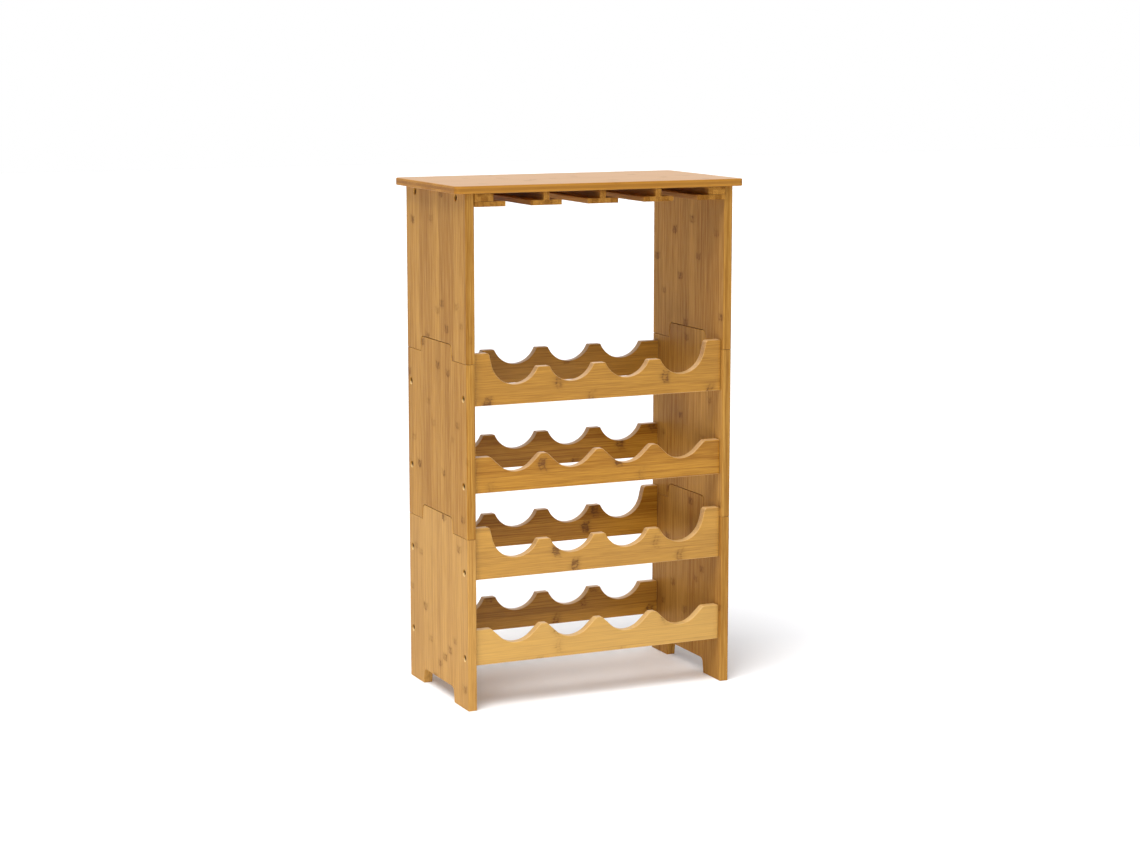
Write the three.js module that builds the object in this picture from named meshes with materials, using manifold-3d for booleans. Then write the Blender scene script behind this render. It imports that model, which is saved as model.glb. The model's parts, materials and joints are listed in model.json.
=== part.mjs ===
// A free-standing bamboo wine rack in three stacked modules. Two bottle modules carry two rows of
// bottles each on scalloped rails, and the top module is a glass bay: a board with slotted hanger
// rails for stemware under it. Each module's side panels have feet that straddle the tabs on the
// panels below, so the modules lift off each other.
//
// Millimetres. +X is right, +Y is back, +Z is up. The origin is on the floor, at the middle of the
// footprint. "Left" and "right" are as seen from the front.

import * as THREE from "three";
import { mergeVertices } from "three/addons/utils/BufferGeometryUtils.js";
import Module from "manifold-3d";

const wasm = await Module();
wasm.setup();

// ---------- driving dimensions ----------

// Side panels
const rackWidth = 470; // over the outsides of the two side panels
const panelDepth = 258;
const panelThickness = 15;
const moduleHeight = 280; // floor to shoulder, and shoulder to shoulder
const glassBayHeight = 268; // uppermost shoulder to the underside of the top board

// Feet and tabs that stack the modules
const footWidth = 61; // of each foot, at the floor
const notchHeight = 25;
const notchDraft = 4; // how far each side of the notch leans in over its height
const notchRadius = 7;
const footRadius = 1.5;
const tabClearance = 0.8; // between a tab and the notch that it fills

// Bottle rails
const bottlesPerRow = 4;
const railThickness = 14;
const railHeight = 58; // to the lands between bottles
const railSetback = 8; // behind the panels' front edges, and before their back edges
const railEndMargin = 23; // panel to the first bottle's share of the rail
const landBelowShoulder = 10; // top of an upper front rail's lands, below the panel's shoulder
const upperBackDrop = 1; // of an upper back rail, below the front one in its row
const lowerBackDrop = 5.5; // of a lower back rail
const cradleDepth = 26;
const lugRise = 26; // of an upper rail's end lug, above its lands
const lugFlankAngle = 76; // degrees from level
const lugRadius = 5;
const roundCradle = { landWidth: 20.7, flankAngle: 62 };
const openCradle = { landWidth: 11, flankAngle: 43 };
const softLandRadius = 3;
const crestLandRadius = 5.5;
const crispLandRadius = 1.5;
const railEndRadius = 3;

// Screws and dowels, one of each in every rail end
const screwHeadRadius = 4.7;
const screwHeadHeight = 3;
const screwHeadRecess = 2.2; // top of the head below the panel's outer face
const screwShankRadius = 2;
const screwLength = 40; // under the head
const screwTipLength = 4;
const screwAboveRow = 12.5; // above the underside of the row's front rail
const dowelRadius = 4;
const dowelChamfer = 1;
const dowelInPanel = 9;
const dowelInRail = 20;
const dowelBelowLand = 12.5;

// Top board
const boardThickness = 12;
const boardSideOverhang = 18;
const boardFrontOverhang = 5; // and the same at the back
const boardCornerRadius = 9;

// Stemware hanger
const stemRailInset = 1.5; // of the hanger's ends, behind the board's front and back edges
const stemDrop = 13; // board to the top of the flanges
const stemFlangeThickness = 8;
const stemFlangeWidth = 53;
const stemWebThickness = 10;
const stemBlockWidth = 31;
const stemLedgeLip = 20.5; // ledge beyond its block
const stemScrewInset = 41; // from the panel's front and back edges
const stemScrewBelowBoard = 8.5;

// Fits
const seatGap = 0.3; // between faces that rest or are glued together
const pinGap = 0.3; // round screws and dowels
const headGap = 0.4; // round a screw's head, in its counterbore
const holeBottomGap = 0.5; // past the end of a dowel or a screw
const roundTolerance = 0.15; // how far a facet may stray from its arc
const pinSides = 12;

// ---------- sizes that follow ----------

const innerWidth = rackWidth - 2 * panelThickness;
const bottlePitch = (innerWidth - 2 * railEndMargin) / bottlesPerRow;
const halfDepth = panelDepth / 2;
const upperRailBase = moduleHeight - landBelowShoulder - railHeight;
const lowerRailBase = upperRailBase - moduleHeight / 2; // rows stay evenly spaced up the stack
const railMiddleY = halfDepth - railSetback - railThickness / 2;
const boardBottom = 2 * moduleHeight + glassBayHeight;
const boardWidth = rackWidth + 2 * boardSideOverhang;
const boardDepth = panelDepth + 2 * boardFrontOverhang;
const stemLength = boardDepth - 2 * stemRailInset;
const stemTop = boardBottom - seatGap;
const stemFlangeTop = boardBottom - stemDrop;

// ---------- materials ----------

function bamboo(colour, roughness) {
  return new THREE.MeshStandardMaterial({ color: colour, roughness, metalness: 0 });
}

const panelBamboo = bamboo(0xc08d55, 0.42);
const railBamboo = bamboo(0xcb9448, 0.42);
const boardBamboo = bamboo(0xcf9a62, 0.38);
const hangerBamboo = bamboo(0xb98744, 0.45);
const dowelBeech = bamboo(0xd9b98a, 0.7);
const darkSteel = new THREE.MeshStandardMaterial({ color: 0x2c2620, roughness: 0.4, metalness: 1 });

// ---------- solids and their geometry ----------

function solidFrom(geometry) {
  geometry.deleteAttribute("normal");
  geometry.deleteAttribute("uv");
  const merged = mergeVertices(geometry, 1e-4);
  return new wasm.Manifold(
    new wasm.Mesh({
      numProp: 3,
      vertProperties: new Float32Array(merged.attributes.position.array),
      triVerts: new Uint32Array(merged.index.array),
    }),
  );
}

function geometryFrom(solid) {
  const mesh = solid.getMesh();
  const geometry = new THREE.BufferGeometry();
  geometry.setAttribute("position", new THREE.BufferAttribute(mesh.vertProperties, 3));
  geometry.setIndex(new THREE.BufferAttribute(mesh.triVerts, 1));
  geometry.computeVertexNormals();
  return geometry;
}

// An outline from its corners, each [x, y, radius]. Where two roundings would meet on a side, they
// share it.
function roundedShape(corners) {
  const count = corners.length;
  const places = corners.map(([x, y]) => new THREE.Vector2(x, y));
  const halfAngles = places.map((here, i) => {
    const toBefore = places[(i + count - 1) % count].clone().sub(here);
    const toAfter = places[(i + 1) % count].clone().sub(here);
    return toBefore.angleTo(toAfter) / 2;
  });
  const reaches = corners.map(([, , radius], i) => radius / Math.tan(halfAngles[i]));
  const shares = places.map((here, i) => {
    const next = (i + 1) % count;
    return Math.min(1, here.distanceTo(places[next]) / (reaches[i] + reaches[next] || 1));
  });
  const points = places.flatMap((here, i) => {
    const share = Math.min(shares[i], shares[(i + count - 1) % count]);
    const before = places[(i + count - 1) % count];
    const after = places[(i + 1) % count];
    return cornerPoints(before, here, after, reaches[i] * share, halfAngles[i]);
  });
  return new THREE.Shape(points);
}

// The points of one rounded corner, close enough together to follow its arc within the tolerance.
function cornerPoints(before, here, after, reach, halfAngle) {
  if (reach === 0) return [here.clone()];
  const toBefore = before.clone().sub(here).normalize();
  const toAfter = after.clone().sub(here).normalize();
  const radius = reach * Math.tan(halfAngle);
  const middle = toBefore.clone().add(toAfter).normalize();
  const centre = here.clone().addScaledVector(middle, radius / Math.sin(halfAngle));
  const start = here.clone().addScaledVector(toBefore, reach);
  const turn = Math.PI - 2 * halfAngle;
  const way = Math.sign(toAfter.cross(toBefore));
  const steps = Math.ceil(turn / (2 * Math.acos(Math.max(0, 1 - roundTolerance / radius))));
  const points = [];
  for (let step = 0; step <= steps; step += 1) {
    points.push(start.clone().rotateAround(centre, (way * turn * step) / steps));
  }
  return points;
}

const alongX = new THREE.Matrix4().makeBasis(
  new THREE.Vector3(0, 1, 0),
  new THREE.Vector3(0, 0, 1),
  new THREE.Vector3(1, 0, 0),
);
const alongY = new THREE.Matrix4().makeBasis(
  new THREE.Vector3(1, 0, 0),
  new THREE.Vector3(0, 0, 1),
  new THREE.Vector3(0, -1, 0),
);
const alongZ = new THREE.Matrix4();

// A plate of the outline, its thickness centred on the origin. The outline's two axes are Y and Z
// for a plate along X, X and Z for one along Y, and X and Y for one along Z.
function plate(shape, thickness, direction) {
  const geometry = new THREE.ExtrudeGeometry(shape, { depth: thickness, bevelEnabled: false });
  geometry.translate(0, 0, -thickness / 2);
  geometry.applyMatrix4(direction);
  return solidFrom(geometry);
}

// A pin along X, turned from [radius, x] points that start and end on its axis.
function turnedAlongX(profile) {
  const points = profile.map(([radius, x]) => new THREE.Vector2(radius, x));
  const geometry = new THREE.LatheGeometry(points, pinSides);
  geometry.rotateZ(-Math.PI / 2);
  return solidFrom(geometry);
}

function cylinderAlongX(radius, fromX, toX) {
  return turnedAlongX([
    [0, fromX],
    [radius, fromX],
    [radius, toX],
    [0, toX],
  ]);
}

function mesh(name, solid, material) {
  const made = new THREE.Mesh(geometryFrom(solid), material);
  made.name = name;
  return made;
}

// ---------- screws and dowels ----------
// Both are modelled with x = 0 on the panel's inner face, +x into the rail and -x out of the panel.

const headSeat = -panelThickness + screwHeadRecess + screwHeadHeight;

function screwSolid() {
  const tip = headSeat + screwLength;
  return turnedAlongX([
    [0, headSeat - screwHeadHeight],
    [screwHeadRadius, headSeat - screwHeadHeight],
    [screwHeadRadius, headSeat],
    [screwShankRadius, headSeat],
    [screwShankRadius, tip - screwTipLength],
    [0, tip],
  ]);
}

// All that a screw passes through: its counterbore, and its hole through the panel into the rail.
function screwHole() {
  const mouth = -panelThickness - 1;
  const tip = headSeat + screwLength + holeBottomGap;
  return turnedAlongX([
    [0, mouth],
    [screwHeadRadius + headGap, mouth],
    [screwHeadRadius + headGap, headSeat + seatGap],
    [screwShankRadius + pinGap, headSeat + seatGap],
    [screwShankRadius + pinGap, tip],
    [0, tip],
  ]);
}

function dowelSolid() {
  return turnedAlongX([
    [0, -dowelInPanel],
    [dowelRadius - dowelChamfer, -dowelInPanel],
    [dowelRadius, -dowelInPanel + dowelChamfer],
    [dowelRadius, dowelInRail - dowelChamfer],
    [dowelRadius - dowelChamfer, dowelInRail],
    [0, dowelInRail],
  ]);
}

function dowelHole() {
  const radius = dowelRadius + pinGap;
  return cylinderAlongX(radius, -dowelInPanel - holeBottomGap, dowelInRail + holeBottomGap);
}

// Moves a solid modelled on a panel's inner face to the left or right panel, at y and z.
function atPanel(solid, side, y, z) {
  const turned = side === "left" ? solid : solid.mirror([1, 0, 0]);
  const innerFace = side === "left" ? -innerWidth / 2 : innerWidth / 2;
  return turned.translate([innerFace, y, z]);
}

// ---------- side panels ----------

const notchBaseHalf = halfDepth - footWidth;
const notchTopHalf = notchBaseHalf - notchDraft;
const tabHeight = notchHeight + seatGap - tabClearance;

// The outline of a panel that stands on z = 0 and is as high as its shoulders.
function panelOutline(height, withTab) {
  const front = -halfDepth;
  const tab = [
    [notchBaseHalf - tabClearance, height, 0],
    [notchTopHalf - tabClearance, height + tabHeight, notchRadius - tabClearance],
    [-notchTopHalf + tabClearance, height + tabHeight, notchRadius - tabClearance],
    [-notchBaseHalf + tabClearance, height, 0],
  ];
  return roundedShape([
    [front, 0, footRadius],
    [-notchBaseHalf, 0, footRadius],
    [-notchTopHalf, notchHeight, notchRadius],
    [notchTopHalf, notchHeight, notchRadius],
    [notchBaseHalf, 0, footRadius],
    [-front, 0, footRadius],
    [-front, height, footRadius],
    ...(withTab ? tab : []),
    [front, height, footRadius],
  ]);
}

function panelSolid(side, base, height, withTab) {
  const middle = (side === "left" ? -1 : 1) * (innerWidth / 2 + panelThickness / 2);
  return plate(panelOutline(height, withTab), panelThickness, alongX).translate([middle, 0, base]);
}

// ---------- bottle rails ----------

// The outline of a rail, from the underside up, with a cradle for each bottle between level lands.
// A cradle is an arc with a straight flank on each side, at the style's angle from level. A rail with
// lugs rises beside its outermost cradles, where the flank is steeper.
function railOutline({ landWidth, flankAngle, landRadius, hasLugs }) {
  const flank = THREE.MathUtils.degToRad(flankAngle);
  const lugFlank = hasLugs ? THREE.MathUtils.degToRad(lugFlankAngle) : flank;
  const endTop = railHeight + (hasLugs ? lugRise : 0);
  const endX = innerWidth / 2 - seatGap;
  const endCorner = hasLugs ? lugRadius : landRadius;
  const halfMouth = (bottlePitch - landWidth) / 2;
  const vDepth = halfMouth * Math.tan(flank);
  const radius = (vDepth - cradleDepth) / (1 / Math.cos(flank) - 1);
  const centreZ = railHeight - cradleDepth + radius;
  const reachAt = (angle, z) => (radius + Math.cos(angle) * (z - centreZ)) / Math.sin(angle);

  const corners = [
    [-endX, 0, 0],
    [endX, 0, 0],
    [endX, endTop, railEndRadius],
  ];
  for (let i = bottlesPerRow - 1; i >= 0; i -= 1) {
    const x = (i - (bottlesPerRow - 1) / 2) * bottlePitch;
    const right = i === bottlesPerRow - 1;
    const left = i === 0;
    const rightAngle = right ? lugFlank : flank;
    const leftAngle = left ? lugFlank : flank;
    const rightTop = right ? endTop : railHeight;
    const leftTop = left ? endTop : railHeight;
    const spread = radius / Math.sin(leftAngle + rightAngle);
    const lean = spread * (Math.cos(leftAngle) - Math.cos(rightAngle));
    const drop = spread * (Math.sin(leftAngle) + Math.sin(rightAngle));
    corners.push([x + reachAt(rightAngle, rightTop), rightTop, right ? endCorner : landRadius]);
    corners.push([x + lean, centreZ - drop, radius]);
    corners.push([x - reachAt(leftAngle, leftTop), leftTop, left ? endCorner : landRadius]);
  }
  corners.push([-endX, endTop, railEndRadius]);
  return roundedShape(corners);
}

const ruggedRail = { ...roundCradle, landRadius: softLandRadius, hasLugs: true };
const crestedRail = { ...openCradle, landRadius: crestLandRadius, hasLugs: false };
const plainRail = { ...roundCradle, landRadius: crispLandRadius, hasLugs: false };
const luggedBackRail = { ...plainRail, hasLugs: true };

// Where a rail sits: its row's height, how far it hangs below that, and its distance front to back.
const lowerFront = { row: lowerRailBase, drop: 0, y: -railMiddleY };
const lowerBack = { row: lowerRailBase, drop: lowerBackDrop, y: railMiddleY };
const upperFront = { row: upperRailBase, drop: 0, y: -railMiddleY };
const upperBack = { row: upperRailBase, drop: upperBackDrop, y: railMiddleY };

const modules = [
  {
    name: "bottom",
    base: 0,
    height: moduleHeight,
    rails: [
      { place: "lower_front", style: crestedRail, ...lowerFront },
      { place: "lower_back", style: plainRail, ...lowerBack },
      { place: "upper_front", style: ruggedRail, ...upperFront },
      { place: "upper_back", style: luggedBackRail, ...upperBack },
    ],
  },
  {
    name: "middle",
    base: moduleHeight + seatGap,
    height: moduleHeight - seatGap,
    rails: [
      { place: "lower_front", style: crestedRail, ...lowerFront },
      { place: "lower_back", style: plainRail, ...lowerBack },
      { place: "upper_front", style: ruggedRail, ...upperFront },
      { place: "upper_back", style: plainRail, ...upperBack },
    ],
  },
];
const sides = ["left", "right"];

// ---------- a bottle module ----------

function bottleModule({ name, base, height, rails }, floorZ) {
  const group = new THREE.Group();
  const panels = {};
  for (const side of sides) panels[side] = panelSolid(side, base, height, true);

  for (const { place, style, row, drop, y } of rails) {
    const railZ = floorZ + row - drop;
    const screwZ = floorZ + row + screwAboveRow;
    const dowelZ = railZ + railHeight - dowelBelowLand;
    const label = `${name}_${place}_rail`;
    let rail = plate(railOutline(style), railThickness, alongY).translate([0, y, railZ]);
    for (const side of sides) {
      const holes = atPanel(screwHole(), side, y, screwZ).add(atPanel(dowelHole(), side, y, dowelZ));
      rail = rail.subtract(holes);
      panels[side] = panels[side].subtract(holes);
      const screw = atPanel(screwSolid(), side, y, screwZ);
      const dowel = atPanel(dowelSolid(), side, y, dowelZ);
      group.add(mesh(`${label}_screw_${side}`, screw, darkSteel));
      group.add(mesh(`${label}_dowel_${side}`, dowel, dowelBeech));
    }
    group.add(mesh(label, rail, railBamboo));
  }
  for (const side of sides) group.add(mesh(`${name}_side_panel_${side}`, panels[side], panelBamboo));
  return group;
}

// ---------- the glass bay: top panels, board and stemware hanger ----------

function rectangle(left, right, bottom, top) {
  return [
    [left, bottom, 0],
    [right, bottom, 0],
    [right, top, 0],
    [left, top, 0],
  ];
}

function boardSolid() {
  const halfWidth = boardWidth / 2;
  const halfBoard = boardDepth / 2;
  const corners = rectangle(-halfWidth, halfWidth, -halfBoard, halfBoard);
  const outline = roundedShape(corners.map(([x, y]) => [x, y, boardCornerRadius]));
  return plate(outline, boardThickness, alongZ).translate([0, 0, boardBottom + boardThickness / 2]);
}

// A middle hanger rail is an upside-down T: a web under the board, and a flange that carries the feet
// of the glasses on both sides.
function stemRailSolid(x) {
  const halfWeb = stemWebThickness / 2;
  const halfFlange = stemFlangeWidth / 2;
  const flangeBottom = stemFlangeTop - stemFlangeThickness;
  const outline = roundedShape([
    [-halfFlange, flangeBottom, 0],
    [halfFlange, flangeBottom, 0],
    [halfFlange, stemFlangeTop, 0],
    [halfWeb, stemFlangeTop, 0],
    [halfWeb, stemTop, 0],
    [-halfWeb, stemTop, 0],
    [-halfWeb, stemFlangeTop, 0],
    [-halfFlange, stemFlangeTop, 0],
  ]);
  return plate(outline, stemLength, alongY).translate([x, 0, 0]);
}

// A side block under the board, against the panel's inner face, and the ledge glued below it.
function stemBlockSolid(side) {
  const near = innerWidth / 2 - seatGap;
  const far = innerWidth / 2 - stemBlockWidth;
  const way = side === "left" ? [-near, -far] : [far, near];
  const outline = roundedShape(rectangle(way[0], way[1], stemFlangeTop + seatGap, stemTop));
  return plate(outline, stemLength, alongY);
}

function stemLedgeSolid(side) {
  const near = innerWidth / 2 - seatGap;
  const far = innerWidth / 2 - stemBlockWidth - stemLedgeLip;
  const way = side === "left" ? [-near, -far] : [far, near];
  const bottom = stemFlangeTop - stemFlangeThickness;
  return plate(roundedShape(rectangle(way[0], way[1], bottom, stemFlangeTop)), stemLength, alongY);
}

function glassBay() {
  const group = new THREE.Group();
  const base = 2 * moduleHeight + seatGap;
  const height = glassBayHeight - 2 * seatGap;
  const screwZ = boardBottom - stemScrewBelowBoard;
  const screwRows = { front: -halfDepth + stemScrewInset, back: halfDepth - stemScrewInset };
  for (const side of sides) {
    let panel = panelSolid(side, base, height, false);
    let block = stemBlockSolid(side);
    for (const [row, y] of Object.entries(screwRows)) {
      const hole = atPanel(screwHole(), side, y, screwZ);
      panel = panel.subtract(hole);
      block = block.subtract(hole);
      const screw = atPanel(screwSolid(), side, y, screwZ);
      group.add(mesh(`stem_block_${row}_screw_${side}`, screw, darkSteel));
    }
    group.add(mesh(`top_side_panel_${side}`, panel, panelBamboo));
    group.add(mesh(`stem_block_${side}`, block, hangerBamboo));
    group.add(mesh(`stem_ledge_${side}`, stemLedgeSolid(side), hangerBamboo));
  }
  const stemRails = { left: -bottlePitch, centre: 0, right: bottlePitch };
  for (const [place, x] of Object.entries(stemRails)) {
    group.add(mesh(`stem_rail_${place}`, stemRailSolid(x), hangerBamboo));
  }
  group.add(mesh("top_board", boardSolid(), boardBamboo));
  return group;
}

// ---------- the whole rack ----------

const rack = new THREE.Group();
modules.forEach((module, level) => rack.add(bottleModule(module, level * moduleHeight)));
rack.add(glassBay());

export default rack;
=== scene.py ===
import json
import math
import bmesh
import bpy
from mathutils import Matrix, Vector


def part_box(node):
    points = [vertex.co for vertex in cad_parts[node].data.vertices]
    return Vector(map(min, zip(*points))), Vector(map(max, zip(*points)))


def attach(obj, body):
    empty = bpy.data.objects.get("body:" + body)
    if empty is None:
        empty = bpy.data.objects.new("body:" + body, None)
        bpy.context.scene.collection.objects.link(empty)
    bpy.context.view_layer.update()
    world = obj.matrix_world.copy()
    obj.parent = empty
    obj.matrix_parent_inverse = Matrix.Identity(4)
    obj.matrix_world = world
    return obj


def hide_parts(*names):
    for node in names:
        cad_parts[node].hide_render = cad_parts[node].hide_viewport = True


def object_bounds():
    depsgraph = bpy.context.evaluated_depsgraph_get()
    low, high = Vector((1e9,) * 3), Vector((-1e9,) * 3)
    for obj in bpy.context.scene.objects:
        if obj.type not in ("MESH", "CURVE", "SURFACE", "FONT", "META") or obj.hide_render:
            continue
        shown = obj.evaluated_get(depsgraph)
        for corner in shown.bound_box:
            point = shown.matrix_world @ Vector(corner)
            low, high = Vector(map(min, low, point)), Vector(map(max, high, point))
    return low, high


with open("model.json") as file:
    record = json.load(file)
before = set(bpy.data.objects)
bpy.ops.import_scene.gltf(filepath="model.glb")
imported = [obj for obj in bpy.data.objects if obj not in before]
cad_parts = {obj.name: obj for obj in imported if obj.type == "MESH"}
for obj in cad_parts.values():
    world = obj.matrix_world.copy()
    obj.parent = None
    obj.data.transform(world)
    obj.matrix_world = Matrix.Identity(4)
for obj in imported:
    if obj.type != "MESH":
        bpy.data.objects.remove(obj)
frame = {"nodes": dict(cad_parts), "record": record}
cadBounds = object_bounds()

# Bamboo wine rack: two bottle modules and a glass bay, stacked. Metres, +Z up, front towards -Y.


# camera, floor and light

cameraSetup = {
    "place": (-1.6907, -3.7024, 1.0814),
    "turn": 24.575,   # degrees to the right of straight ahead
    "tilt": -9.137,   # degrees from level
    "lens": 78.4,
}
studioSetup = {
    "floorSize": 30.0,
    "floorTone": (0.97, 0.97, 0.97),
    "backdrop": (1.0, 1.0, 1.0),      # the white sweep behind the rack
    "room": (0.34, 0.35, 0.38),         # the rest of the studio
    "backdropStart": 0.05,  # how far towards +Y a direction points where the sweep begins
    "backdropEnd": 0.55,
    "backdropTop": 0.6,     # and how steeply up, as a sine, where it ends
    "backdropFade": 0.9,
    "sunTurn": 48,          # degrees to the left of straight ahead
    "sunHeight": 63,        # degrees above level
    "sunSoftness": 42,
    "sunPower": 3.0,
    "fillPlace": (-0.65, -1.05, 0.03),   # low, as light thrown back by a pale floor
    "fillAim": (0, 0, 0.1),
    "fillWidth": 1.5,
    "fillHeight": 0.25,
    "fillPower": 8,
}


def addCamera():
    bpy.ops.object.camera_add(
        location=cameraSetup["place"],
        rotation=(math.radians(90 + cameraSetup["tilt"]), 0, math.radians(-cameraSetup["turn"])),
    )
    camera = bpy.context.object
    camera.name = "camera"
    camera.data.lens = cameraSetup["lens"]
    bpy.context.scene.camera = camera


def addSun():
    turn, height = math.radians(studioSetup["sunTurn"]), math.radians(studioSetup["sunHeight"])
    bpy.ops.object.light_add(type="SUN", location=(0, 0, 3))
    sun = bpy.context.object
    sun.name = "soft_sun"
    sun.data.energy = studioSetup["sunPower"]
    sun.data.angle = math.radians(studioSetup["sunSoftness"])
    aim = Vector((math.sin(turn) * math.cos(height), math.cos(turn) * math.cos(height), -math.sin(height)))
    sun.rotation_euler = aim.to_track_quat("-Z", "Y").to_euler()


def addFill():
    bpy.ops.object.light_add(type="AREA", location=studioSetup["fillPlace"])
    fill = bpy.context.object
    fill.name = "low_fill"
    fill.data.shape = "RECTANGLE"
    fill.data.size = studioSetup["fillWidth"]
    fill.data.size_y = studioSetup["fillHeight"]
    fill.visible_camera = False
    fill.data.energy = studioSetup["fillPower"]
    aim = Vector(studioSetup["fillAim"]) - Vector(studioSetup["fillPlace"])
    fill.rotation_euler = aim.to_track_quat("-Z", "Y").to_euler()


def addStudio():
    bpy.ops.object.select_all(action="DESELECT")
    bpy.ops.mesh.primitive_plane_add(size=studioSetup["floorSize"], location=(0, 0, cadBounds[0].z))
    floor = bpy.context.object
    floor.name = "studio_floor"
    floorPaint = bpy.data.materials.new("studioFloor")
    floorPaint.use_nodes = True
    shader = floorPaint.node_tree.nodes["Principled BSDF"]
    shader.inputs["Base Color"].default_value = (*studioSetup["floorTone"], 1)
    shader.inputs["Roughness"].default_value = 0.9
    shader.inputs["Specular IOR Level"].default_value = 0.1
    floor.data.materials.append(floorPaint)

    world = bpy.context.scene.world or bpy.data.worlds.new("studio")
    bpy.context.scene.world = world
    world.use_nodes = True
    air = world.node_tree.nodes["Background"]
    way = world.node_tree.nodes.new("ShaderNodeTexCoord")
    split = world.node_tree.nodes.new("ShaderNodeSeparateXYZ")
    behind = world.node_tree.nodes.new("ShaderNodeMapRange")
    below = world.node_tree.nodes.new("ShaderNodeMapRange")
    both = world.node_tree.nodes.new("ShaderNodeMath")
    mix = world.node_tree.nodes.new("ShaderNodeMix")
    both.operation = "MULTIPLY"
    mix.data_type = "RGBA"
    behind.inputs["From Min"].default_value = studioSetup["backdropStart"]
    behind.inputs["From Max"].default_value = studioSetup["backdropEnd"]
    below.inputs["From Min"].default_value = studioSetup["backdropFade"]
    below.inputs["From Max"].default_value = studioSetup["backdropTop"]
    mix.inputs["A"].default_value = (*studioSetup["room"], 1)
    mix.inputs["B"].default_value = (*studioSetup["backdrop"], 1)
    link = world.node_tree.links.new
    link(way.outputs["Generated"], split.inputs[0])
    link(split.outputs["Y"], behind.inputs["Value"])
    link(split.outputs["Z"], below.inputs["Value"])
    link(behind.outputs[0], both.inputs[0])
    link(below.outputs[0], both.inputs[1])
    link(both.outputs[0], mix.inputs["Factor"])
    link(mix.outputs["Result"], air.inputs["Color"])
    air.inputs["Strength"].default_value = 1.0
    addSun()
    addFill()
    bpy.context.scene.view_settings.view_transform = "Standard"


addCamera()
addStudio()
print("camera, floor and lights are up")


# finishes

def tone(red, green, blue):
    # a shader colour from everyday 0-255 values
    return tuple((value / 255 / 12.92) if value < 11 else ((value / 255 + 0.055) / 1.055) ** 2.4
                 for value in (red, green, blue)) + (1,)


def newFinish(name):
    finish = bpy.data.materials.new(name)
    finish.use_nodes = True
    return finish, finish.node_tree, finish.node_tree.nodes["Principled BSDF"]


def feed(tree, socket, value):
    if isinstance(value, bpy.types.NodeSocket):
        tree.links.new(value, socket)
    else:
        socket.default_value = value


def sums(tree, operation, first, second=0.0, third=0.0):
    node = tree.nodes.new("ShaderNodeMath")
    node.operation = operation
    for socket, value in zip(node.inputs, (first, second, third)):
        feed(tree, socket, value)
    return node.outputs[0]


def blendTones(tree, factor, first, second):
    node = tree.nodes.new("ShaderNodeMix")
    node.data_type = "RGBA"
    feed(tree, node.inputs["Factor"], factor)
    feed(tree, node.inputs["A"], first)
    feed(tree, node.inputs["B"], second)
    return node.outputs["Result"]


def stretchedNoise(tree, along, across, through, scales, detail=2.0, roughness=0.5):
    # noise whose grains have their own size in each direction, values centred on zero
    place = tree.nodes.new("ShaderNodeCombineXYZ")
    for socket, value, scale in zip(place.inputs, (along, across, through), scales):
        feed(tree, socket, sums(tree, "MULTIPLY", value, scale))
    noise = tree.nodes.new("ShaderNodeTexNoise")
    noise.inputs["Scale"].default_value = 1.0
    noise.inputs["Detail"].default_value = detail
    noise.inputs["Roughness"].default_value = roughness
    tree.links.new(place.outputs[0], noise.inputs["Vector"])
    return sums(tree, "SUBTRACT", noise.outputs["Fac"], 0.5)


def chance(tree, first, second, third=0.0):
    # three random numbers that hold over one strip, or over one joint of the cane
    place = tree.nodes.new("ShaderNodeCombineXYZ")
    for socket, value in zip(place.inputs, (first, second, third)):
        feed(tree, socket, value)
    dice = tree.nodes.new("ShaderNodeTexWhiteNoise")
    dice.noise_dimensions = "3D"
    tree.links.new(place.outputs[0], dice.inputs["Vector"])
    split = tree.nodes.new("ShaderNodeSeparateColor")
    tree.links.new(dice.outputs["Color"], split.inputs[0])
    return split.outputs


def hump(tree, distance, width):
    # 1 at no distance, falling smoothly to nothing beyond the width
    ratio = sums(tree, "DIVIDE", distance, width)
    return sums(tree, "EXPONENT", sums(tree, "MULTIPLY", sums(tree, "MULTIPLY", ratio, ratio), -1.0))


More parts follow.
